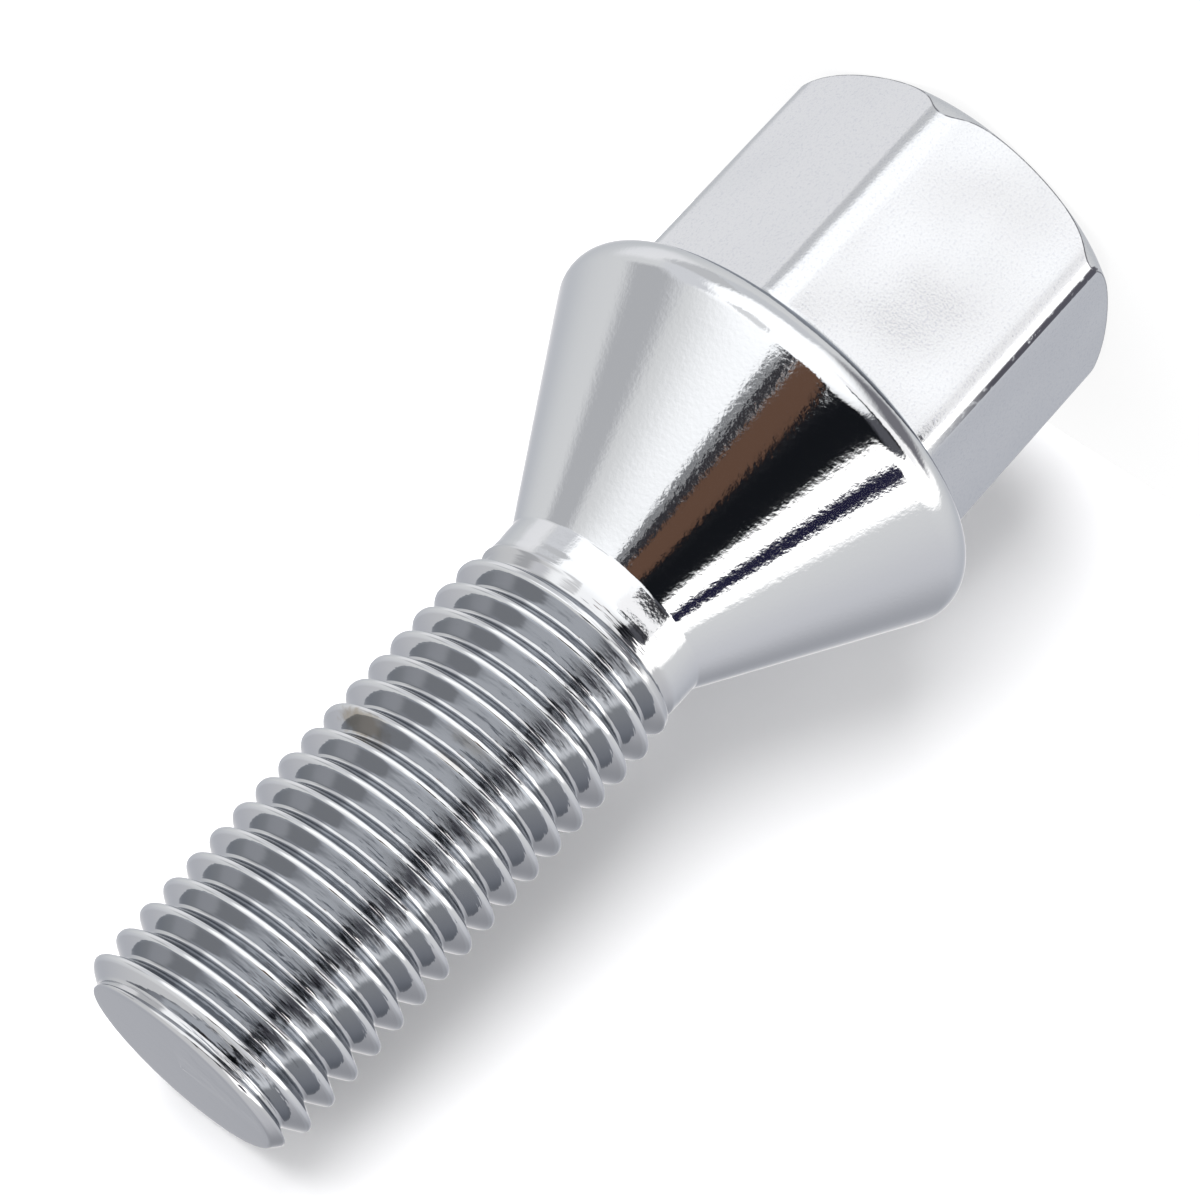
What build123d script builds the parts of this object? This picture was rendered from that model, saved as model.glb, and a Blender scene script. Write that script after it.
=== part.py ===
"""Wheel bolt with a hexagon head, a rounded collar and a conical seat, made as one piece.

The bolt stands on its head: the end of the hexagon lies on Z = 0 and the threaded tip points up +Z.
Lengths are millimetres and angles are degrees.
"""
import os
from math import atan, ceil, cos, degrees, pi, radians, sin, tan

from build123d import *

# Hexagon head with soft corners, domed from just inside the flats at its end to the corners
hex_across_flats = 17.0
hex_sides = 6
hex_height = 13.2
hex_corner_round = 1.6
hex_end_inset = 0.2
hex_end_round = 2.2
hex_root_fillet = 0.5

# Collar past the hexagon's corners, with a round edge and a back that slopes to the hexagon
collar_overhang = 1.75
collar_round = 1.4
collar_back_slope = 18.0

# Conical seat, with its slope measured from the bolt's axis
seat_slope = 30.0
seat_fillet = 0.3

# Shank, from the small end of the seat to the tip, and the plain neck at its foot
shank_length = 28.2
neck_length = 1.7
neck_depth = 0.4

# Right-hand thread
thread_diameter = 11.7
thread_pitch = 1.5
thread_crest_width = 0.19
thread_root_width = 0.41
thread_flank_slope = 30.0

# Chamfered tip, whose flat end stays inside the thread's root
tip_inset = 0.02
tip_slope = 40.0
tip_round = 0.25

# How far a turning tool and a finer cutter run clear of the metal
turning_overrun = 1.0
cutter_overrun = 0.1

# The thread's groove, from its root out to the clear end of the cutter
thread_radius = thread_diameter / 2
groove_flare = tan(radians(thread_flank_slope))
groove_depth = (thread_pitch - thread_crest_width - thread_root_width) / 2 / groove_flare
root_radius = thread_radius - groove_depth
cutter_radius = thread_radius + cutter_overrun
root_half_width = thread_root_width / 2
cutter_half_width = root_half_width + (cutter_radius - root_radius) * groove_flare

# Radii of the turned forms
flat_radius = hex_across_flats / 2
corner_radius = flat_radius / cos(pi / hex_sides)
hex_end_radius = flat_radius - hex_end_inset
collar_radius = corner_radius + collar_overhang
neck_radius = thread_radius - neck_depth
tip_radius = root_radius - tip_inset
turning_radius = thread_radius + turning_overrun
doming_radius = corner_radius - hex_corner_round * (1 / cos(pi / hex_sides) - 1) + cutter_overrun

# The collar's round, tangent to its sloping back and to the seat
round_radius = collar_radius - collar_round
back_radius = round_radius + collar_round * sin(radians(collar_back_slope))
back_height = hex_height + (back_radius - flat_radius) * tan(radians(collar_back_slope))
back_apex_height = hex_height - flat_radius * tan(radians(collar_back_slope))
round_height = back_height + collar_round * cos(radians(collar_back_slope))
seat_radius = round_radius + collar_round * cos(radians(seat_slope))
seat_height = round_height + collar_round * sin(radians(seat_slope))

# Heights along the bolt, where the thread's last turn fades into the neck
neck_low = seat_height + (seat_radius - neck_radius) / tan(radians(seat_slope))
neck_high = neck_low + neck_length
thread_low = neck_high + thread_pitch
tip_height = neck_low + shank_length
fade_rise = thread_pitch * (turning_radius - neck_radius) / neck_depth
chamfer_drop = (turning_radius - tip_radius) / tan(radians(tip_slope))
dome_height = (hex_end_round**2 - (hex_end_round - doming_radius + hex_end_radius) ** 2) ** 0.5

# The groove is cut turn by turn from above the tip, and its last turn climbs out at the neck
full_turns = ceil((tip_height + turning_overrun - thread_low) / thread_pitch) + 1
climb_slope = degrees(atan((neck_radius + cutter_overrun - root_radius) / thread_pitch))

with BuildPart() as bolt:
    # Shank, a plain rod that is a little too long
    with BuildSketch(Plane.XY.offset(neck_low)):
        Circle(thread_radius)
    extrude(amount=shank_length + turning_overrun)

    # Thread, a groove that winds down the shank
    for turn in range(full_turns, -1, -1):
        turn_top = thread_low + turn * thread_pitch
        turn_slope = climb_slope if turn == 0 else 0
        with BuildLine():
            Helix(thread_pitch, thread_pitch, root_radius, (0, 0, turn_top), (0, 0, -1), turn_slope)
        with BuildSketch(Plane.XZ):
            with BuildLine():
                Polyline(
                    (-root_radius, turn_top - root_half_width),
                    (-root_radius, turn_top + root_half_width),
                    (-cutter_radius, turn_top + cutter_half_width),
                    (-cutter_radius, turn_top - cutter_half_width),
                    close=True,
                )
            make_face()
        sweep(is_frenet=True, mode=Mode.SUBTRACT)

    # Tip, faced to length, rounded at its rim and chamfered
    with BuildSketch(Plane.XZ):
        with BuildLine():
            FilletPolyline(
                (0, tip_height),
                (tip_radius, tip_height),
                (turning_radius, tip_height - chamfer_drop),
                radius=tip_round,
            )
            Polyline(
                (turning_radius, tip_height - chamfer_drop),
                (turning_radius, tip_height + turning_overrun),
                (0, tip_height + turning_overrun),
                (0, tip_height),
            )
        make_face()
    revolve(axis=Axis.Z, mode=Mode.SUBTRACT)

    # Neck, below a slope where the last turn fades out
    with BuildSketch(Plane.XZ):
        with BuildLine():
            Polyline(
                (neck_radius, neck_low),
                (neck_radius, neck_high),
                (turning_radius, neck_high + fade_rise),
                (turning_radius, neck_low),
                close=True,
            )
        make_face()
    revolve(axis=Axis.Z, mode=Mode.SUBTRACT)

    # Seat and collar, turned below the neck
    with BuildSketch(Plane.XZ):
        with BuildLine():
            Polyline(
                (back_radius, back_height),
                (0, back_apex_height),
                (0, neck_low),
                (neck_radius, neck_low),
                (seat_radius, seat_height),
            )
            RadiusArc((back_radius, back_height), (seat_radius, seat_height), -collar_round)
        make_face()
    revolve(axis=Axis.Z)
    seat_edge = bolt.edges().filter_by(GeomType.CIRCLE).sort_by_distance((neck_radius, 0, neck_low))[0]
    fillet(seat_edge, seat_fillet)

    # Hexagon, up into the collar, with a fillet all round its root
    with BuildSketch():
        hexagon = RegularPolygon(flat_radius, hex_sides, major_radius=False)
        fillet(hexagon.vertices(), hex_corner_round)
    extrude(amount=round_height)
    head_faces = bolt.faces().filter_by(lambda face: face.bounding_box().min.Z < hex_height / 2)
    side_faces = head_faces.filter_by(Plane.XY, reverse=True)
    fillet([side.edges().sort_by(Axis.Z)[-1] for side in side_faces], hex_root_fillet)

    # Dome round the end of the hexagon, upright where it runs clear of the corners
    with BuildSketch(Plane.XZ):
        with BuildLine():
            Polyline(
                (hex_end_radius, 0),
                (doming_radius + turning_overrun, 0),
                (doming_radius + turning_overrun, dome_height),
                (doming_radius, dome_height),
            )
            RadiusArc((hex_end_radius, 0), (doming_radius, dome_height), -hex_end_round)
        make_face()
    revolve(axis=Axis.Z, mode=Mode.SUBTRACT)

bolt.part.label = "wheel_bolt"
os.makedirs("parts", exist_ok=True)
export_step(bolt.part, "parts/wheel_bolt.step")
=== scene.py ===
"""Chrome wheel bolt and the white studio that it is shown in.

The bolt stands on its head, as its solid does: the end of the hexagon lies on Z = 0 and the tip points up.
Lengths are metres. The chrome's pattern is worked out in millimetres, where its numbers are easy to read.
"""
from math import acos, atan2, ceil, cos, hypot, pi, radians, sin, tan
from types import SimpleNamespace

import bmesh
import bpy
from bpy.props import FloatProperty, FloatVectorProperty, IntProperty, PointerProperty
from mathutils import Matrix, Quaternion, Vector


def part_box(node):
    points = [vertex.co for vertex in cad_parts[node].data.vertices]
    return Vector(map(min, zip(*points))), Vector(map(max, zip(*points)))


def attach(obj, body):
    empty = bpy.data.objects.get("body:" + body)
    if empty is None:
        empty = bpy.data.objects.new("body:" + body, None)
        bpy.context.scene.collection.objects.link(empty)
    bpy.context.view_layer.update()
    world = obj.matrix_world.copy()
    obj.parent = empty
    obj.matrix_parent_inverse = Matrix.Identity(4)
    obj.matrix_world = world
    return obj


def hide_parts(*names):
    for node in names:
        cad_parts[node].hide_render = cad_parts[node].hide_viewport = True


bl_info = {
    "name": "Wheel bolt",
    "version": (1, 0, 0),
    "blender": (4, 5, 0),
    "location": "3D View > Sidebar > Wheel bolt",
    "description": "Makes a chrome wheel bolt and the white studio round it",
    "category": "Add Mesh",
}

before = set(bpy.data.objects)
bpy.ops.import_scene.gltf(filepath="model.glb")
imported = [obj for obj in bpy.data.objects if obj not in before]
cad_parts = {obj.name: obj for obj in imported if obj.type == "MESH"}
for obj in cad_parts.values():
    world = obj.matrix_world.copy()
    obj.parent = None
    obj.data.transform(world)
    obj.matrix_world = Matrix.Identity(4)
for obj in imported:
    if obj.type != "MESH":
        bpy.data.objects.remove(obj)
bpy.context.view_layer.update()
BOLT_LOW, BOLT_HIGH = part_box("wheel_bolt")
BOLT_NAME = "chrome_wheel_bolt"
MM = 0.001
HEX_SIDES = 6

# Vertices closer than this are merged, and a cut takes vertices this close as lying on it
MERGE_DISTANCE = 0.0005 * MM
CUT_TOLERANCE = 0.0001 * MM

# Shares of the neck's length where the head stops and the shank starts, with a bridge between them
HEAD_STOP = 0.4
SHANK_START = 0.6

# Share of a flat end's radius that one face fills, inside a ring of narrow faces
END_FACE = 0.9

# Turns that are wound below the thread's full depth, for the neck to be turned from
SPARE_TURNS = 3

# Place and half width, round the axis, of a painted dark reflection up one corner of the hexagon, and its
# strength at the end
DARK_REFLECTION_CORNER = radians(-123.1)
DARK_REFLECTION_HALF_WIDTH = radians(0.9)
CORNER_DARK_REFLECTION = 3.0

# Stains on the thread: middle and half length in degrees round the axis, then the height at +X of the line
# along the thread that they follow and their half width, in millimetres, and strength
STAINS = ((-30.0, 20.0, 38.77, 0.42, 0.75), (-80.0, 15.0, 38.15, 0.34, 0.35))

# Where the streaks in the thread's plate start and end, in degrees round the axis
STREAKS_RISE = (-160.0, -125.0)
STREAKS_FADE = (-85.0, -60.0)

# Patterns in the plate, in cells per millimetre
GRAIN_SCALE = 8.0
WAVE_SCALE = 0.22
PEEL_SCALE = 4.5
STREAK_SCALE = (0.5, 0.5, 7.0)
STAIN_SCALE = 2.5
RAGGED_MARK_SCALE = 2.2

# Where the finish changes, in millimetres from the hexagon's top and the thread's start, and where the
# painted shade in the groove starts, from the crests
POLISH_SPAN = (-0.1, 0.5)
THREAD_SPAN = (-0.2, 0.3)
GROOVE_SHADE_SPAN = (-0.2, -0.08)

# Levels of the patterns between which stains, specks and the ragged rubbed edge and painted dark reflection
# come out
STAIN_LEVELS = (1.7, 0.9)
SPECK_LEVELS = (0.5, 0.72)
RAGGED_MARK_LEVELS = (0.3, 0.5)

# Sizes of the floor and the board, and where the lamp over the floor stands
FLOOR_SIZE = 6.0
BOARD_SIZE = 1.0
TOP_DIRECTION = Vector((0.2, -0.3, 0.93))
SENSOR_WIDTH = 36.0


def length_property(name, description, millimetres):
    """A length that the sidebar shows, given in millimetres."""
    return FloatProperty(
        name=name, description=description, default=millimetres * MM, unit="LENGTH", precision=5
    )


def angle_property(name, description, degrees):
    """An angle that the sidebar shows, given in degrees."""
    return FloatProperty(name=name, description=description, default=radians(degrees), unit="ROTATION")


def colour_property(name, description, colour):
    """A colour that the sidebar shows, in linear light."""
    return FloatVectorProperty(
        name=name, description=description, default=colour, subtype="COLOR", size=3, min=0.0, max=1.0
    )


def share_property(name, description, share):
    """A share from 0 to 1 that the sidebar shows."""
    return FloatProperty(
        name=name, description=description, default=share, subtype="FACTOR", min=0.0, max=1.0
    )


def number_property(name, description, number):
    """A plain number that the sidebar shows."""
    return FloatProperty(name=name, description=description, default=number, min=0.0)


def count_property(name, description, count):
    """A number of faces that the sidebar shows."""
    return IntProperty(name=name, description=description, default=count, min=1)


class BoltSizes(bpy.types.PropertyGroup):
    """Sizes of the bolt."""

    across_flats: length_property("Across flats", "Width of the hexagon between two flats", 17.0)
    hex_height: length_property("Hexagon height", "From its end to the collar, at a flat's middle", 13.2)
    hex_corner_round: length_property("Hexagon corner", "Radius of the hexagon's upright edges", 1.6)
    hex_end_inset: length_property("End inset", "How far the end's flat circle stays inside the flats", 0.2)
    hex_end_clear: length_property("End clearance", "How far past the corners the dome stands upright", 0.1)
    hex_end_round: length_property("End round", "Radius of the dome round the hexagon's end", 2.2)
    hex_end_soften: length_property("End softening", "How far the dome's edges are softened", 0.06)
    hex_root_fillet: length_property("Root fillet", "Radius between the hexagon and the collar", 0.5)
    collar_round: length_property("Collar round", "Radius of the collar's edge", 1.4)
    collar_back_slope: angle_property("Collar back", "Slope of the collar's back, towards the hexagon", 18.0)
    seat_slope: angle_property("Seat slope", "Between the conical seat's side and the bolt's axis", 30.0)
    seat_fillet: length_property("Seat fillet", "Radius between the seat and the neck", 0.3)
    shank_length: length_property("Shank length", "From the small end of the seat to the tip", 28.2)
    neck_length: length_property("Neck length", "Plain length between the seat and the thread", 1.7)
    neck_depth: length_property("Neck depth", "How far the neck lies inside the thread's crests", 0.4)
    thread_diameter: length_property("Thread diameter", "Across the thread's crests", 11.7)
    thread_pitch: length_property("Thread pitch", "From one crest to the next", 1.5)
    crest_width: length_property("Crest width", "Width of the thread's crest before it is softened", 0.19)
    root_width: length_property("Root width", "Width of the thread's root before it is softened", 0.19)
    flank_slope: angle_property("Flank slope", "Between a thread flank and a plane across the axis", 30.0)
    crest_soften: length_property("Crest softening", "How far the crest's corners are cut back", 0.06)
    root_soften: length_property("Root softening", "How far the root's corners are filled", 0.08)
    cut_soften: length_property("Cut softening", "Softness where the turned faces cut the thread", 0.06)
    tip_diameter: length_property("Tip diameter", "Across the tip's flat end, without its round rim", 10.1)
    tip_fade: length_property("Tip fade", "Length at the tip where the groove gets shallow", 1.0)
    tip_slope: angle_property("Tip slope", "Between the tip's chamfer and the bolt's axis", 40.0)
    tip_round: length_property("Tip round", "Radius of the rim of the tip's flat end", 0.25)
    corner_steps: count_property("Corner steps", "Faces round one corner of the hexagon", 8)
    dome_steps: count_property("Dome steps", "Faces down the dome of the hexagon's end", 8)
    flat_steps: count_property("Flat steps", "Faces along one flat of the hexagon", 24)
    fillet_steps: count_property("Fillet steps", "Faces round a fillet and round the tip's rim", 5)
    collar_steps: count_property("Collar steps", "Faces round the collar's edge", 20)
    seat_steps: count_property("Seat steps", "Faces up the seat", 10)
    turn_steps: count_property("Turn steps", "Faces round one turn of the thread", 128)
    flank_steps: count_property("Flank steps", "Faces across one flank of the thread", 5)
    crest_steps: count_property("Crest steps", "Faces round each corner of the thread's crest", 4)
    root_steps: count_property("Root steps", "Faces round each corner of the thread's root", 6)


class ChromeFinish(bpy.types.PropertyGroup):
    """Colours and relief of the chrome plate."""

    plate: colour_property("Plate", "Colour of the clean plate", (0.43, 0.45, 0.48))
    # Darker than the plate: a painted shade deep in the thread's groove
    groove: colour_property("Groove", "Colour of the thin plate in the thread's groove", (0.37, 0.385, 0.41))
    sand: colour_property("Sand", "Colour of the dull specks on the hexagon", (0.385, 0.405, 0.445))
    # This dark colour is rubbed plate on the dome's edge, and a painted dark reflection up one corner
    worn_and_dark_reflection: colour_property("Worn", "Colour of the worn edges", (0.06, 0.06, 0.075))
    tarnish: colour_property("Tarnish", "Colour of the stained plate", (0.23, 0.205, 0.165))
    roughness: share_property("Roughness", "Blur of the polished plate", 0.06)
    hex_roughness: share_property("Hexagon roughness", "Blur of the hexagon", 0.2)
    edge_tint: colour_property("Edge tint", "How bright the plate is at a grazing angle", (0.63, 0.65, 0.68))
    sand_relief: length_property("Sand relief", "Height of the sandy grain on the hexagon", 0.008)
    wave_relief: length_property("Wave relief", "Height of the slow waves in the hexagon's flats", 0.25)
    peel_relief: length_property("Peel relief", "Height of the waves in the polished plate", 0.006)
    streak_relief: length_property("Streak relief", "Height of the streaks along the thread", 0.035)
    clean_relief: length_property("Clean relief", "Height of the streaks where the thread is clean", 0.006)


class StudioLook(bpy.types.PropertyGroup):
    """Camera, light and colours of the studio."""

    lens: number_property("Lens", "Focal length of the camera, in millimetres", 125.55)
    camera_distance: length_property("Camera distance", "From the camera to the point it aims at", 187.28)
    camera_azimuth: angle_property("Camera azimuth", "How far the camera stands from -Y towards +X", 7.045)
    camera_elevation: angle_property("Camera elevation", "How far the camera looks down", 18.706)
    camera_roll: angle_property("Camera roll", "How far the picture turns about the line of sight", 137.53)
    aim_height: length_property("Aim height", "Height of the point that the camera aims at", 26.15)
    aim_offset: length_property("Aim offset", "How far that point stands off the axis, along +X", 0.285)
    table_pitch: angle_property("Table pitch", "Between the line of sight and the mirrored table", 54.0)
    board_lean: angle_property("Board lean", "How far the board leans to the collar and thread", 8.6)
    board_gap: length_property("Board gap", "Between the bolt and the board", 0.05)
    paper: colour_property("Paper", "Colour of the floor", (0.94, 0.94, 0.945))
    board: colour_property("Board", "Colour of the board", (0.8, 0.8, 0.81))
    floor_plainness: share_property("Floor plainness", "How far the floor hides shadows", 0.85)
    board_glow: number_property("Board glow", "How far the board lightens its shadow", 0.05)
    fill: number_property("Fill", "Strength of the even light on the floor", 0.6)
    key: number_property("Key", "Strength of the lamp that throws the shadow", 3.8)
    key_turn: angle_property("Key turn", "How far that lamp stands from the left away from the camera", 45.0)
    key_elevation: angle_property("Key elevation", "Height of that lamp over the table", 69.0)
    key_spread: angle_property("Key spread", "Width of that lamp, which softens the shadow", 64.0)
    top: number_property("Top", "Strength of the lamp over the floor", 2.4)
    top_spread: angle_property("Top spread", "Width of that lamp", 60.0)


def bolt_form(sizes):
    """Radii and heights that follow from the bolt's sizes."""
    form = SimpleNamespace()
    form.tip = BOLT_HIGH.z
    form.flat_radius = sizes.across_flats / 2
    form.corner_radius = form.flat_radius / cos(pi / HEX_SIDES)
    form.hex_end_radius = form.flat_radius - sizes.hex_end_inset
    corner_reach = form.corner_radius - sizes.hex_corner_round * (1 / cos(pi / HEX_SIDES) - 1)
    dome_radius = corner_reach + sizes.hex_end_clear - sizes.hex_end_round
    dome_height = (sizes.hex_end_round ** 2 - (form.hex_end_radius - dome_radius) ** 2) ** 0.5
    form.dome_centre = Vector((dome_radius, dome_height))
    form.collar_radius = (BOLT_HIGH.x - BOLT_LOW.x) / 2
    form.back_climb = tan(sizes.collar_back_slope)
    form.round_radius = form.collar_radius - sizes.collar_round
    form.back_radius = form.round_radius + sizes.collar_round * sin(sizes.collar_back_slope)
    form.back_height = sizes.hex_height + (form.back_radius - form.flat_radius) * form.back_climb
    form.round_height = form.back_height + sizes.collar_round * cos(sizes.collar_back_slope)
    form.thread_radius = sizes.thread_diameter / 2
    form.flank_rise = (sizes.thread_pitch - sizes.crest_width - sizes.root_width) / 2
    form.root_radius = form.thread_radius - form.flank_rise / tan(sizes.flank_slope)
    form.neck_radius = form.thread_radius - sizes.neck_depth
    form.neck_low = form.tip - sizes.shank_length
    form.neck_high = form.neck_low + sizes.neck_length
    form.thread_low = form.neck_high + sizes.thread_pitch
    form.tip_radius = sizes.tip_diameter / 2
    return form


def arc(centre, radius, start, end, steps):
    """Points (radius, height) round an arc, whose angles start from straight out."""
    angles = [start + (end - start) * step / steps for step in range(steps + 1)]
    return [(centre[0] + radius * cos(angle), centre[1] + radius * sin(angle)) for angle in angles]


def select_edges(piece, rule):
    """Selects the edges of the piece in edit mode that the rule accepts."""
    bpy.ops.mesh.select_mode(type="EDGE")
    bpy.ops.mesh.select_all(action="DESELECT")
    mesh = bmesh.from_edit_mesh(piece.data)
    for edge in mesh.edges:
        edge.select_set(rule(edge))
    bmesh.update_edit_mesh(piece.data)


def place_rim(piece, rule):
    """Moves each selected vertex to where the rule puts it."""
    mesh = bmesh.from_edit_mesh(piece.data)
    for vertex in mesh.verts:
        if vertex.select:
            vertex.co = rule(vertex.co)
    bmesh.update_edit_mesh(piece.data)


def next_rim(piece, rule):
    """Extrudes the selected rim and shapes the new one."""
    bpy.ops.mesh.extrude_region_move()
    place_rim(piece, rule)


def at_radius(radius, height):
    """A rule for a round rim."""

    def rule(place):
        share = radius / hypot(place.x, place.y)
        return Vector((place.x * share, place.y * share, height))

    return rule


def moved_out(out, up):
    """A rule that widens a rim of any outline and lifts it."""

    def rule(place):
        share = 1 + out / hypot(place.x, place.y)
        return Vector((place.x * share, place.y * share, place.z + up))

    return rule


def space_evenly(piece):
    """Turns the selected round rim's vertices to even angles, in the order that they have."""
    mesh = bmesh.from_edit_mesh(piece.data)
    chosen = [vertex for vertex in mesh.verts if vertex.select]
    rim = sorted(chosen, key=lambda vertex: atan2(vertex.co.y, vertex.co.x))
    # The even angles are turned so that on average the vertices keep the angles that they had
    shift = sum(atan2(v.co.y, v.co.x) - 2 * pi * i / len(rim) for i, v in enumerate(rim)) / len(rim)
    for index, vertex in enumerate(rim):
        angle = shift + 2 * pi * index / len(rim)
        radius = hypot(vertex.co.x, vertex.co.y)
        vertex.co.x = radius * cos(angle)
        vertex.co.y = radius * sin(angle)
    bmesh.update_edit_mesh(piece.data)


def draw_hexagon(sizes, form):
    """The hexagon's outline, with round corners and flats in even steps, left in edit mode."""
    bpy.ops.object.select_all(action="DESELECT")
    bpy.ops.mesh.primitive_circle_add(
        vertices=HEX_SIDES, radius=form.corner_radius, rotation=(0, 0, pi / HEX_SIDES)
    )
    head = bpy.context.object
    bpy.ops.object.transform_apply(rotation=True)
    bpy.ops.object.mode_set(mode="EDIT")
    bpy.ops.mesh.select_all(action="SELECT")
    corner_cut = sizes.hex_corner_round * tan(pi / HEX_SIDES)
    bpy.ops.mesh.bevel(offset=corner_cut, segments=sizes.corner_steps, affect="VERTICES")
    select_edges(head, lambda edge: edge.calc_length() > form.flat_radius / 2)
    bpy.ops.mesh.subdivide(number_cuts=sizes.flat_steps - 1)
    return head


def close_hexagon_end(head, sizes, form):
    """The domed end, from the hexagon's outline in to the flat circle."""
    dome_round = sizes.hex_end_round
    end_angle = atan2(-form.dome_centre.y, form.hex_end_radius - form.dome_centre.x)
    soft_turn = sizes.hex_end_soften / dome_round

    def on_dome(angle, place):
        radius = form.dome_centre.x + dome_round * cos(angle)
        return at_radius(radius, form.dome_centre.y + dome_round * sin(angle))(place)

    def side_angle(place):
        return -acos((hypot(place.x, place.y) - form.dome_centre.x) / dome_round)

    def along_dome(share):
        def rule(place):
            angle = side_angle(place)
            return on_dome(angle + (end_angle + soft_turn - angle) * share, place)

        return rule

    bpy.ops.mesh.select_all(action="SELECT")
    place_rim(head, lambda place: on_dome(side_angle(place), place))
    next_rim(head, lambda place: on_dome(side_angle(place) - soft_turn, place))
    for steps_left in range(sizes.dome_steps, 0, -1):
        next_rim(head, along_dome(1 / steps_left))
    next_rim(head, at_radius(form.hex_end_radius, 0))
    next_rim(head, at_radius(form.hex_end_radius - sizes.hex_end_soften, 0))
    next_rim(head, at_radius(form.hex_end_radius * END_FACE, 0))
    bpy.ops.mesh.edge_face_add()


def raise_hexagon(head, sizes, form):
    """The hexagon's sides and the fillet at their root."""
    fillet = sizes.hex_root_fillet
    fillet_low = fillet * form.back_climb - fillet / cos(sizes.collar_back_slope)

    def below_fillet(place):
        climb = (hypot(place.x, place.y) - form.flat_radius) * form.back_climb
        return Vector((place.x, place.y, sizes.hex_height + climb + fillet_low))

    select_edges(head, lambda edge: edge.is_boundary)
    next_rim(head, moved_out(0, sizes.hex_end_soften))
    next_rim(head, below_fillet)
    fillet_arc = arc((0, 0), fillet, pi, pi / 2 + sizes.collar_back_slope, sizes.fillet_steps)
    for low, high in zip(fillet_arc, fillet_arc[1:]):
        next_rim(head, moved_out(high[0] - low[0], high[1] - low[1]))


def raise_collar(head, sizes, form):
    """The collar, whose rims are evenly spaced from its back on, then the seat and the neck."""
    next_rim(head, at_radius(form.back_radius, form.back_height))
    space_evenly(head)
    round_centre = (form.round_radius, form.round_height)
    back_angle = sizes.collar_back_slope - pi / 2
    collar = arc(round_centre, sizes.collar_round, back_angle, sizes.seat_slope, sizes.collar_steps)

    # The seat runs from the collar's round to a small fillet at the neck
    fillet_reach = sizes.seat_fillet * tan(sizes.seat_slope / 2)
    fillet_centre = (form.neck_radius + sizes.seat_fillet, form.neck_low + fillet_reach)
    neck_fillet = arc(fillet_centre, sizes.seat_fillet, pi + sizes.seat_slope, pi, sizes.fillet_steps)
    seat_low = Vector(collar[-1])
    seat_high = Vector(neck_fillet[0])
    seat = [tuple(seat_low.lerp(seat_high, step / sizes.seat_steps)) for step in range(1, sizes.seat_steps)]
    neck = [(form.neck_radius, form.neck_low + sizes.neck_length * HEAD_STOP)]
    for radius, height in collar[1:] + seat + neck_fillet + neck:
        next_rim(head, at_radius(radius, height))


def mark_wear_and_dark_reflection(head, sizes, form, rim_count):
    """Marks the plate as rubbed along the dome's outer edge, which is the first rim, and paints a dark
    reflection up one corner.
    """
    wear = head.data.attributes.new("wear", "FLOAT", "POINT")
    for index, vertex in enumerate(head.data.vertices):
        on_corner = abs(atan2(vertex.co.y, vertex.co.x) - DARK_REFLECTION_CORNER) < DARK_REFLECTION_HALF_WIDTH
        if index < rim_count:
            wear.data[index].value = 1.0
        # Up one corner the mark is a painted dark reflection, strongest at the hexagon's end
        elif on_corner and form.dome_centre.y / 2 < vertex.co.z < sizes.hex_height:
            wear.data[index].value = CORNER_DARK_REFLECTION * (1.0 - vertex.co.z / sizes.hex_height)


def make_head(sizes, form):
    """The hexagon, the collar and the seat, from the hexagon's end up to the neck."""
    head = draw_hexagon(sizes, form)
    rim_count = len(bmesh.from_edit_mesh(head.data).verts)
    close_hexagon_end(head, sizes, form)
    raise_hexagon(head, sizes, form)
    raise_collar(head, sizes, form)
    bpy.ops.object.mode_set(mode="OBJECT")
    mark_wear_and_dark_reflection(head, sizes, form, rim_count)
    return head


def softly_least(first, second, softness):
    """The lesser of two values, with a soft change from one to the other."""
    share = min(max(0.5 + 0.5 * (second - first) / softness, 0.0), 1.0)
    return second + (first - second) * share - softness * share * (1 - share)


def draw_thread_section(sizes, form):
    """Section of one pitch of the thread, drawn up the -X side from the middle of a root."""
    pitch = sizes.thread_pitch
    depth = form.thread_radius - form.root_radius
    bpy.ops.object.select_all(action="DESELECT")
    bpy.ops.mesh.primitive_plane_add(size=pitch)
    shank = bpy.context.object
    bpy.ops.object.mode_set(mode="EDIT")
    bpy.ops.mesh.select_mode(type="VERT")
    bpy.ops.mesh.merge(type="CENTER")
    bpy.ops.mesh.select_all(action="SELECT")
    bpy.ops.transform.translate(value=(-form.root_radius, 0, form.thread_low - SPARE_TURNS * pitch))
    half_root = (0, 0, sizes.root_width / 2)
    strokes = (
        half_root,
        (-depth, 0, form.flank_rise),
        (0, 0, sizes.crest_width),
        (depth, 0, form.flank_rise),
        half_root,
    )
    for stroke in strokes:
        bpy.ops.mesh.extrude_region_move(TRANSFORM_OT_translate={"value": stroke})

    # Softened crest and root, and flanks in even steps
    crest_limit = form.thread_radius - depth / 2
    crest = (sizes.crest_soften, sizes.crest_steps, True)
    root = (sizes.root_soften, sizes.root_steps, False)
    for soften, steps, outer in (crest, root):
        bpy.ops.mesh.select_mode(type="VERT")
        bpy.ops.mesh.select_all(action="DESELECT")
        mesh = bmesh.from_edit_mesh(shank.data)
        for vertex in mesh.verts:
            vertex.select_set(len(vertex.link_edges) == 2 and (-vertex.co.x > crest_limit) == outer)
        bmesh.update_edit_mesh(shank.data)
        bpy.ops.mesh.bevel(offset=soften, segments=steps, affect="VERTICES")
    select_edges(shank, lambda edge: edge.calc_length() > depth / 2)
    bpy.ops.mesh.subdivide(number_cuts=sizes.flank_steps - 1)
    bpy.ops.object.mode_set(mode="OBJECT")
    return shank


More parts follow.
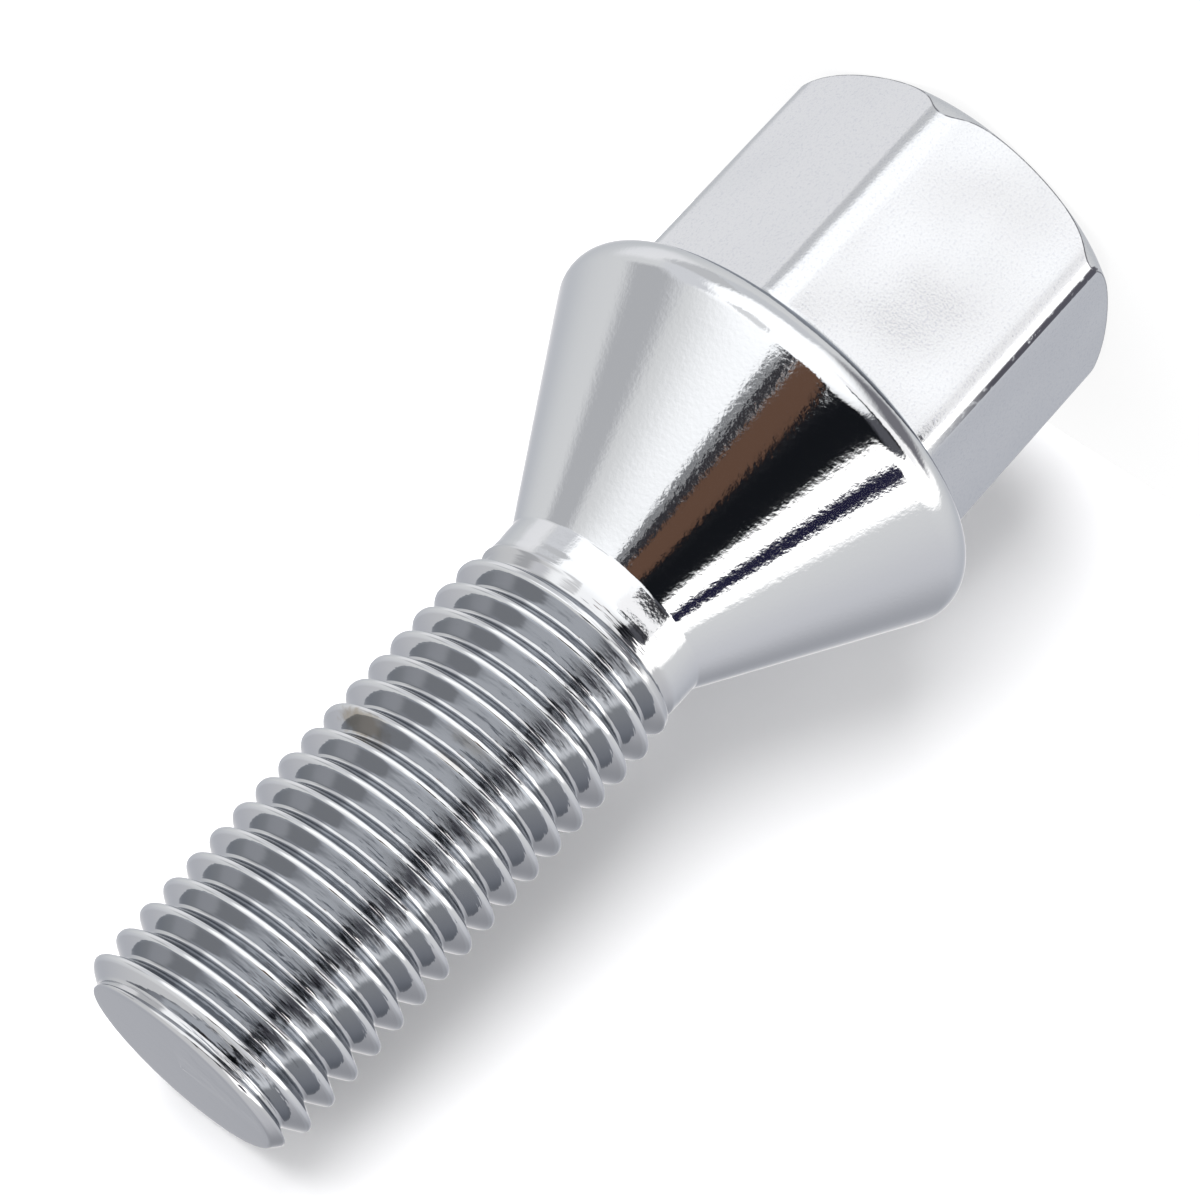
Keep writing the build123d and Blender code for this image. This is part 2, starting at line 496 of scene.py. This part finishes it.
def wind_thread(shank, sizes, form):
    """Winds the section up from the neck to above the tip."""
    bpy.ops.object.modifier_add(type="SCREW")
    winding = shank.modifiers[-1]
    winding.axis = "Z"
    winding.angle = 2 * pi
    winding.screw_offset = sizes.thread_pitch
    winding.iterations = ceil((form.tip - form.thread_low) / sizes.thread_pitch) + SPARE_TURNS
    winding.steps = sizes.turn_steps
    winding.render_steps = sizes.turn_steps
    bpy.ops.object.modifier_apply(modifier=winding.name)


def turn_down_thread(shank, sizes, form):
    """The tip's chamfer and the neck's fade turn the thread down, and its groove gets shallow at both."""
    pitch = sizes.thread_pitch
    fade_climb = sizes.neck_depth / pitch
    floor_climb = (form.neck_radius - form.root_radius) / pitch
    tip_climb = (form.tip_radius - form.root_radius) / sizes.tip_fade
    for vertex in shank.data.vertices:
        x, y, z = vertex.co
        radius = hypot(x, y)
        neck_floor = min(form.thread_low - z, pitch) * floor_climb
        tip_floor = (z - form.tip + sizes.tip_fade) * tip_climb
        turned = max(radius, form.root_radius + max(neck_floor, tip_floor))
        chamfer = form.tip_radius + (form.tip - z) * tan(sizes.tip_slope)
        turned = softly_least(turned, chamfer, sizes.cut_soften)
        fade = form.neck_radius + max(z - form.neck_high, 0) * fade_climb
        turned = softly_least(turned, fade, sizes.cut_soften)
        vertex.co = (x * turned / radius, y * turned / radius, z)


def middle_height(edge):
    """Middle height of an edge."""
    return (edge.verts[0].co.z + edge.verts[1].co.z) / 2


def trim_shank(shank, sizes, form):
    """Trims the shank to length and closes its tip with a rounded rim and a flat end."""
    bpy.ops.object.mode_set(mode="EDIT")
    bpy.ops.mesh.select_all(action="SELECT")
    bpy.ops.mesh.remove_doubles(threshold=MERGE_DISTANCE)
    rim_turn = pi / 2 - sizes.tip_slope
    rim_reach = sizes.tip_round * tan(rim_turn / 2)
    trim_high = form.tip - rim_reach * cos(sizes.tip_slope)
    trim_low = form.neck_low + sizes.neck_length * SHANK_START
    for height, side in ((trim_high, 1), (trim_low, -1)):
        bpy.ops.mesh.select_all(action="SELECT")
        bpy.ops.mesh.bisect(
            plane_co=(0, 0, height), plane_no=(0, 0, side), clear_outer=True, threshold=CUT_TOLERANCE
        )

    select_edges(shank, lambda edge: edge.is_boundary and middle_height(edge) > form.thread_low)
    rim_centre = (form.tip_radius - rim_reach, form.tip - sizes.tip_round)
    rim = arc(rim_centre, sizes.tip_round, sizes.tip_slope, pi / 2, sizes.fillet_steps)
    for radius, height in rim[1:]:
        next_rim(shank, lambda place: at_radius(min(radius, hypot(place.x, place.y)), height)(place))
    next_rim(shank, at_radius(form.tip_radius * END_FACE, form.tip))
    bpy.ops.mesh.edge_face_add()
    bpy.ops.object.mode_set(mode="OBJECT")


def make_shank(sizes, form):
    """The thread and the tip, from the neck up."""
    shank = draw_thread_section(sizes, form)
    wind_thread(shank, sizes, form)
    turn_down_thread(shank, sizes, form)
    trim_shank(shank, sizes, form)
    return shank


def join_bolt(head, shank):
    """One closed skin from the head and the shank."""
    bpy.ops.object.select_all(action="DESELECT")
    shank.select_set(True)
    head.select_set(True)
    bpy.context.view_layer.objects.active = head
    bpy.ops.object.join()
    bpy.ops.object.mode_set(mode="EDIT")
    select_edges(head, lambda edge: edge.is_boundary)
    bpy.ops.mesh.bridge_edge_loops()
    bpy.ops.mesh.select_all(action="SELECT")
    bpy.ops.mesh.remove_doubles(threshold=MERGE_DISTANCE)
    bpy.ops.mesh.normals_make_consistent(inside=False)
    bpy.ops.object.mode_set(mode="OBJECT")
    bpy.ops.object.shade_smooth()
    bpy.ops.object.modifier_add(type="WEIGHTED_NORMAL")
    bpy.ops.object.modifier_apply(modifier=head.modifiers[-1].name)
    head.name = BOLT_NAME
    head.data.name = head.name
    return head


def add_node(tree, kind, inputs=None, **settings):
    """A new node, with its settings, and with its inputs set or linked."""
    node = tree.nodes.new(kind)
    for name, value in settings.items():
        setattr(node, name, value)
    for name, value in (inputs or {}).items():
        if isinstance(value, bpy.types.NodeSocket):
            tree.links.new(value, node.inputs[name])
        else:
            node.inputs[name].default_value = value
    return node


def calculate(tree, operation, *values):
    """The result of a Math node."""
    return add_node(tree, "ShaderNodeMath", dict(enumerate(values)), operation=operation).outputs[0]


def vector_math(tree, operation, *values):
    """A Vector Math node."""
    return add_node(tree, "ShaderNodeVectorMath", dict(enumerate(values)), operation=operation)


def rise(tree, value, low, high):
    """0 below low, 1 above high, and a smooth change between."""
    inputs = {"Value": value, "From Min": low, "From Max": high}
    return add_node(tree, "ShaderNodeMapRange", inputs, interpolation_type="SMOOTHSTEP").outputs["Result"]


def blend(tree, share, first, second):
    """The first number where share is 0 and the second where it is 1."""
    inputs = {"Value": share, "To Min": first, "To Max": second}
    return add_node(tree, "ShaderNodeMapRange", inputs).outputs["Result"]


def mixed(tree, share, first, second):
    """The first colour where share is 0 and the second where it is 1."""
    node = tree.nodes.new("ShaderNodeMix")
    node.data_type = "RGBA"
    sockets = {"Factor_Float": share, "A_Color": first, "B_Color": second}
    for socket in node.inputs:
        value = sockets.get(socket.identifier)
        if isinstance(value, bpy.types.NodeSocket):
            tree.links.new(value, socket)
        elif isinstance(value, float):
            socket.default_value = value
        elif value is not None:
            socket.default_value = (*value, 1.0)
    return next(socket for socket in node.outputs if socket.identifier == "Result_Color")


def noise(tree, place, scale, detail):
    """Cloudy noise from 0 to 1, with its scale in cells per unit of place."""
    inputs = {"Vector": place, "Scale": scale, "Detail": detail}
    return add_node(tree, "ShaderNodeTexNoise", inputs).outputs["Fac"]


def empty_material(name):
    """A new material with no nodes but its output."""
    material = bpy.data.materials.new(name)
    material.use_nodes = True
    material.node_tree.nodes.clear()
    output = material.node_tree.nodes.new("ShaderNodeOutputMaterial")
    return material, material.node_tree, output.inputs["Surface"]


def plate_zones(tree, sizes, form):
    """Where a point of the plate lies, in millimetres and degrees, and how far it is polished or threaded."""
    zones = SimpleNamespace()
    metres = add_node(tree, "ShaderNodeTexCoord").outputs["Object"]
    to_millimetres = {"Vector": metres, "Scale": (1 / MM,) * 3}
    zones.place = add_node(tree, "ShaderNodeMapping", to_millimetres).outputs["Vector"]
    axes = add_node(tree, "ShaderNodeSeparateXYZ", {"Vector": zones.place})
    zones.height = axes.outputs["Z"]
    across = vector_math(tree, "MULTIPLY", zones.place, (1, 1, 0)).outputs["Vector"]
    zones.radius = vector_math(tree, "LENGTH", across).outputs["Value"]
    turn = calculate(tree, "ARCTAN2", axes.outputs["Y"], axes.outputs["X"])
    zones.azimuth = calculate(tree, "DEGREES", turn)
    zones.grain = noise(tree, zones.place, GRAIN_SCALE, detail=2.0)
    hex_top = sizes.hex_height / MM
    thread_start = form.neck_high / MM
    zones.polished = rise(tree, zones.height, *(hex_top + step for step in POLISH_SPAN))
    zones.threaded = rise(tree, zones.height, *(thread_start + step for step in THREAD_SPAN))
    return zones


def plate_relief(tree, finish, zones):
    """Sandy grain on waves on the hexagon, a faint peel on the seat, and streaks along the thread."""
    wave = noise(tree, zones.place, WAVE_SCALE, detail=0.0)
    waves = calculate(tree, "MULTIPLY", wave, finish.wave_relief / MM)
    sandy = calculate(tree, "MULTIPLY_ADD", zones.grain, finish.sand_relief / MM, waves)
    peel = noise(tree, zones.place, PEEL_SCALE, detail=3.0)
    peel = calculate(tree, "MULTIPLY", peel, finish.peel_relief / MM)
    stretched = {"Vector": zones.place, "Scale": STREAK_SCALE}
    drawn = add_node(tree, "ShaderNodeMapping", stretched).outputs["Vector"]
    rising = rise(tree, zones.azimuth, *STREAKS_RISE)
    fading = rise(tree, zones.azimuth, *STREAKS_FADE)
    streaked = calculate(tree, "SUBTRACT", rising, fading)
    streak_height = blend(tree, streaked, finish.clean_relief / MM, finish.streak_relief / MM)
    streaks = calculate(tree, "MULTIPLY", noise(tree, drawn, 1.0, detail=2.0), streak_height)
    relief = blend(tree, zones.polished, sandy, blend(tree, zones.threaded, peel, streaks))
    return add_node(tree, "ShaderNodeBump", {"Height": relief, "Distance": MM}).outputs["Normal"]


def stained(tree, colour, finish, sizes, zones):
    """The colour with stains on it, each a ragged patch that follows its turn of the thread."""
    turn_foot = calculate(tree, "MULTIPLY_ADD", zones.azimuth, -sizes.thread_pitch / MM / 360, zones.height)
    ragged = noise(tree, zones.place, STAIN_SCALE, detail=3.0)
    for middle, half_turn, foot, half_width, strength in STAINS:
        along = calculate(tree, "DIVIDE", calculate(tree, "SUBTRACT", zones.azimuth, middle), half_turn)
        across = calculate(tree, "DIVIDE", calculate(tree, "SUBTRACT", turn_foot, foot), half_width)
        across_squared = calculate(tree, "POWER", across, 2.0)
        away = calculate(tree, "SQRT", calculate(tree, "MULTIPLY_ADD", along, along, across_squared))
        stain = rise(tree, calculate(tree, "ADD", away, ragged), *STAIN_LEVELS)
        colour = mixed(tree, calculate(tree, "MULTIPLY", stain, strength), colour, tuple(finish.tarnish))
    return colour


def plate_colour(tree, finish, sizes, form, zones):
    """Painted groove shade, stains on the thread, and dull specks, rubbed edges and a painted dark reflection
    on the hexagon.
    """
    crest = form.thread_radius / MM
    # Painted shade: the plate is darker deep in the thread's groove, below the crests
    shallow = rise(tree, zones.radius, *(crest + step for step in GROOVE_SHADE_SPAN))
    deep = calculate(tree, "SUBTRACT", 1.0, shallow)
    groove_shade = calculate(tree, "MULTIPLY", zones.threaded, deep)
    colour = mixed(tree, groove_shade, tuple(finish.plate), tuple(finish.groove))
    colour = stained(tree, colour, finish, sizes, zones)
    dull = calculate(tree, "SUBTRACT", 1.0, zones.polished)
    specks = calculate(tree, "MULTIPLY", rise(tree, zones.grain, *SPECK_LEVELS), dull)
    colour = mixed(tree, specks, colour, tuple(finish.sand))
    # Dark along the dome's rubbed edge and as a painted dark reflection up one corner, broken up raggedly
    edge = add_node(tree, "ShaderNodeAttribute", attribute_name="wear").outputs["Fac"]
    ragged_mark = rise(tree, noise(tree, zones.place, RAGGED_MARK_SCALE, detail=4.0), *RAGGED_MARK_LEVELS)
    return mixed(tree, calculate(tree, "MULTIPLY", edge, ragged_mark), colour, tuple(finish.worn_and_dark_reflection))


def chrome_material(finish, sizes, form):
    """Bright chrome plate: sandy on the hexagon, polished on the seat and drawn out along the thread."""
    material, tree, surface = empty_material("chrome_plate")
    zones = plate_zones(tree, sizes, form)
    plate = add_node(
        tree,
        "ShaderNodeBsdfPrincipled",
        {
            "Base Color": plate_colour(tree, finish, sizes, form, zones),
            "Metallic": 1.0,
            "Roughness": blend(tree, zones.polished, finish.hex_roughness, finish.roughness),
            "Normal": plate_relief(tree, finish, zones),
            "Specular Tint": (*finish.edge_tint, 1.0),
        },
    )
    tree.links.new(plate.outputs["BSDF"], surface)
    return material


class WHEELBOLT_OT_make_bolt(bpy.types.Operator):
    """Model the bolt's chrome skin in place of its solid"""

    bl_idname = "wheelbolt.make_bolt"
    bl_label = "Make bolt"

    def execute(self, context):
        sizes = context.scene.wheelbolt_sizes
        form = bolt_form(sizes)
        bolt = join_bolt(make_head(sizes, form), make_shank(sizes, form))
        bolt.data.materials.clear()
        bolt.data.materials.append(chrome_material(context.scene.wheelbolt_finish, sizes, form))
        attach(bolt, "root")
        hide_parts("wheel_bolt")
        return {"FINISHED"}


# Tent that the chrome mirrors: the colour at its foot, then, going up, the elevations in degrees between
# which the next colour takes over, and that colour
TENT_LOWEST = (0.33, 0.336, 0.36)
TENT_LAYERS = (
    (-88.0, -50.0, (0.525, 0.535, 0.57)),
    (-55.0, -12.0, (0.61, 0.62, 0.635)),
    (28.0, 52.0, (1.03, 1.05, 1.08)),
)

# Cards in front of the tent: azimuth and elevation limits, softness of the edges in degrees, and colour.
# Azimuth 0 is straight over the table towards the camera, and right of the picture is positive.
MIRRORED_CARDS = {
    "back_wall": ((-190, -98), (26, 51), (5, 5), (0.59, 0.603, 0.637)),
    "right_wall": ((130, 190), (26, 53), (6, 6), (0.53, 0.545, 0.575)),
    "left_panel": ((-176, -138), (-4, 22), (8, 6), (0.74, 0.745, 0.77)),
    "corner_shade": ((-186, -148), (24, 54), (5, 4), (0.48, 0.49, 0.51)),
    "top_panel": ((-92, -50), (54, 71), (4, 3), (0.66, 0.67, 0.69)),
    "front_card": ((2, 105), (-14, 15), (12, 5), (1.7, 1.7, 1.7)),
    "right_shade": ((84, 130), (-7, 29), (8, 8), (0.16, 0.16, 0.18)),
    "left_shade": ((-122, -92), (4, 26), (5, 5), (0.4, 0.41, 0.43)),
    "opening": ((-33, -5), (15, 42), (1.0, 1.0), (0.006, 0.007, 0.009)),
    "opening_middle": ((-6, 62), (14, 36), (1.0, 2.0), (0.006, 0.007, 0.009)),
    "opening_far": ((28, 62), (13, 37), (8.0, 2.5), (0.08, 0.082, 0.095)),
    "opening_frame": ((60, 66), (15, 53), (1.0, 2.0), (0.03, 0.03, 0.035)),
    "right_strip": ((67, 82), (4, 58), (1.5, 4.0), (0.9, 0.9, 0.92)),
    "opening_corner": ((-34, -26), (38, 48), (1.0, 1.0), (0.03, 0.03, 0.035)),
    "opening_edge": ((-40, -34), (32, 47), (2.0, 2.0), (0.16, 0.165, 0.175)),
    "brown_card": ((-25.5, -9), (31, 47), (1.0, 1.0), (0.108, 0.06, 0.041)),
    "front_gap": ((11, 26), (-4.8, 4.0), (2.5, 1.0), (0.012, 0.012, 0.035)),
}


def picture_axes(look):
    """The camera's turn, right and back, and the front and normal of the table in the mirrored studio."""
    azimuth, elevation = look.camera_azimuth, look.camera_elevation
    back = Vector((sin(azimuth) * cos(elevation), -cos(azimuth) * cos(elevation), sin(elevation)))
    turn = Quaternion(back, -look.camera_roll) @ (-back).to_track_quat("-Z", "Y")
    right = turn @ Vector((1, 0, 0))
    up = turn @ Vector((0, 1, 0))
    normal = up * cos(look.table_pitch) + back * sin(look.table_pitch)
    front = back * cos(look.table_pitch) - up * sin(look.table_pitch)
    return SimpleNamespace(turn=turn, right=right, back=back, normal=normal, front=front)


def mirrored_tent(tree, axes):
    """Colours of the white tent over a pale table, with its cards, as the plate shows them."""
    direction = add_node(tree, "ShaderNodeTexCoord").outputs["Generated"]

    def along(axis):
        return vector_math(tree, "DOT_PRODUCT", direction, tuple(axis)).outputs["Value"]

    azimuth = calculate(tree, "ARCTAN2", along(axes.right), along(axes.front))
    azimuth = calculate(tree, "DEGREES", azimuth)
    elevation = calculate(tree, "DEGREES", calculate(tree, "ARCSINE", along(axes.normal)))

    tent = TENT_LOWEST
    for low, high, colour in TENT_LAYERS:
        tent = mixed(tree, rise(tree, elevation, low, high), tent, colour)
    for sides, heights, softness, colour in MIRRORED_CARDS.values():
        share = 1.0
        for value, limits, soft in ((azimuth, sides, softness[0]), (elevation, heights, softness[1])):
            inside = rise(tree, value, limits[0] - soft, limits[0] + soft)
            beyond = rise(tree, value, limits[1] - soft, limits[1] + soft)
            share = calculate(tree, "MULTIPLY", share, calculate(tree, "SUBTRACT", inside, beyond))
        tent = mixed(tree, share, tent, colour)
    return tent


def studio_world(look, axes, plate):
    """A world that is plain white to the camera, the tent to mirrors and an even light to the floor."""
    world = bpy.data.worlds.new("studio")
    bpy.context.scene.world = world
    world.use_nodes = True
    tree = world.node_tree
    tree.nodes.clear()
    tent = vector_math(tree, "DIVIDE", mirrored_tent(tree, axes), tuple(plate)).outputs["Vector"]
    ray = add_node(tree, "ShaderNodeLightPath")
    mirrored = calculate(tree, "MAXIMUM", ray.outputs["Is Glossy Ray"], ray.outputs["Is Transmission Ray"])
    light = mixed(tree, mirrored, (look.fill,) * 3, tent)
    light = mixed(tree, ray.outputs["Is Camera Ray"], light, (1.0, 1.0, 1.0))
    background = add_node(tree, "ShaderNodeBackground", {"Color": light})
    output = tree.nodes.new("ShaderNodeOutputWorld")
    tree.links.new(background.outputs[0], output.inputs["Surface"])


def board_material(look):
    """White paper that glows a little, which lightens its shadow, and that can't be seen from behind."""
    material, tree, surface = empty_material("board_paper")
    paper = add_node(tree, "ShaderNodeBsdfDiffuse", {"Color": (*look.board, 1.0)}).outputs[0]
    glow = add_node(tree, "ShaderNodeEmission", {"Strength": look.board_glow}).outputs[0]
    paper = add_node(tree, "ShaderNodeAddShader", {0: paper, 1: glow}).outputs[0]
    back = add_node(tree, "ShaderNodeNewGeometry").outputs["Backfacing"]
    clear = add_node(tree, "ShaderNodeBsdfTransparent").outputs[0]
    paper = add_node(tree, "ShaderNodeMixShader", {0: back, 1: paper, 2: clear}).outputs[0]
    tree.links.new(paper, surface)
    return material


def floor_material(look):
    """White paper that the camera sees almost plain, with a light shadow."""
    material, tree, surface = empty_material("floor_paper")
    paper = add_node(tree, "ShaderNodeBsdfDiffuse", {"Color": (*look.paper, 1.0)}).outputs[0]
    plain = add_node(tree, "ShaderNodeEmission").outputs[0]
    seen = add_node(tree, "ShaderNodeLightPath").outputs["Is Camera Ray"]
    share = calculate(tree, "MULTIPLY", seen, look.floor_plainness)
    paper = add_node(tree, "ShaderNodeMixShader", {0: share, 1: paper, 2: plain}).outputs[0]
    tree.links.new(paper, surface)
    return material


def keep_off_bolt(sheet):
    """Keeps the sheet out of the chrome's reflections, with no light or shadow from it on anything."""
    sheet.visible_glossy = False
    sheet.visible_diffuse = False
    sheet.visible_shadow = False


def make_floor(look):
    """The floor under the bolt."""
    bpy.ops.object.select_all(action="DESELECT")
    bpy.ops.mesh.primitive_plane_add(size=FLOOR_SIZE)
    floor = bpy.context.object
    floor.name = "floor"
    floor.data.materials.append(floor_material(look))
    keep_off_bolt(floor)


def make_board(look, axes):
    """A white board that leans over the floor behind the bolt, just clear of it, and holds its shadow."""
    side = Vector((axes.normal.x, axes.normal.y, 0)).normalized()
    normal = side * cos(look.board_lean) - Vector((0, 0, sin(look.board_lean)))
    bolt = bpy.data.objects[BOLT_NAME]
    depth = min(normal.dot(vertex.co) for vertex in bolt.data.vertices) - look.board_gap
    bpy.ops.object.select_all(action="DESELECT")
    turn = normal.to_track_quat("Z", "Y").to_euler()
    bpy.ops.mesh.primitive_plane_add(size=BOARD_SIZE, location=normal * depth, rotation=turn)
    board = bpy.context.object
    board.name = "board"
    bpy.ops.object.transform_apply(location=True, rotation=True)
    board.data.materials.append(board_material(look))
    keep_off_bolt(board)


def make_lamp(name, direction, strength, spread):
    """A soft lamp, far off in that direction, which the chrome doesn't mirror."""
    bpy.ops.object.select_all(action="DESELECT")
    bpy.ops.object.light_add(type="SUN", rotation=direction.to_track_quat("Z", "Y").to_euler())
    lamp = bpy.context.object
    lamp.name = name
    lamp.data.energy = strength
    lamp.data.angle = spread
    lamp.visible_glossy = False


def make_lamps(look, axes):
    """The lamp that throws the shadow, from the left behind the bolt, and the one over the floor."""
    away = axes.right * cos(look.key_turn) + axes.front * sin(look.key_turn)
    key = axes.normal * sin(look.key_elevation) - away * cos(look.key_elevation)
    make_lamp("key_lamp", key, look.key, look.key_spread)
    make_lamp("top_lamp", TOP_DIRECTION, look.top, look.top_spread)


def make_camera(look, axes):
    """The camera at the photograph's place, turned so that the bolt lies across the picture."""
    aim = Vector((look.aim_offset, 0, look.aim_height))
    bpy.ops.object.select_all(action="DESELECT")
    bpy.ops.object.camera_add(location=aim + axes.back * look.camera_distance, rotation=axes.turn.to_euler())
    camera = bpy.context.object
    camera.data.lens = look.lens
    camera.data.sensor_width = SENSOR_WIDTH
    camera.data.clip_start = 0.01
    camera.data.clip_end = 100.0
    bpy.context.scene.camera = camera


class WHEELBOLT_OT_set_stage(bpy.types.Operator):
    """Set the floor, the board, the lights and the camera round the bolt"""

    bl_idname = "wheelbolt.set_stage"
    bl_label = "Set stage"

    def execute(self, context):
        look = context.scene.wheelbolt_look
        axes = picture_axes(look)
        make_floor(look)
        make_board(look, axes)
        studio_world(look, axes, context.scene.wheelbolt_finish.plate)
        make_lamps(look, axes)
        make_camera(look, axes)
        context.scene.view_settings.view_transform = "Standard"
        return {"FINISHED"}


class WHEELBOLT_PT_sidebar(bpy.types.Panel):
    """Sizes, finish and studio of the wheel bolt"""

    bl_idname = "WHEELBOLT_PT_sidebar"
    bl_label = "Wheel bolt"
    bl_space_type = "VIEW_3D"
    bl_region_type = "UI"
    bl_category = "Wheel bolt"

    def draw(self, context):
        for group in GROUPS:
            column = self.layout.column(align=True)
            values = getattr(context.scene, group)
            for name in values.__annotations__:
                column.prop(values, name)
        self.layout.operator(WHEELBOLT_OT_make_bolt.bl_idname)
        self.layout.operator(WHEELBOLT_OT_set_stage.bl_idname)


GROUPS = {"wheelbolt_sizes": BoltSizes, "wheelbolt_finish": ChromeFinish, "wheelbolt_look": StudioLook}
CLASSES = (*GROUPS.values(), WHEELBOLT_OT_make_bolt, WHEELBOLT_OT_set_stage, WHEELBOLT_PT_sidebar)


def register():
    for kind in CLASSES:
        bpy.utils.register_class(kind)
    for name, kind in GROUPS.items():
        setattr(bpy.types.Scene, name, PointerProperty(type=kind))


def unregister():
    for name in GROUPS:
        delattr(bpy.types.Scene, name)
    for kind in reversed(CLASSES):
        bpy.utils.unregister_class(kind)


def main():
    register()
    bpy.ops.wheelbolt.make_bolt()
    bpy.ops.wheelbolt.set_stage()


if __name__ == "__main__":
    main()
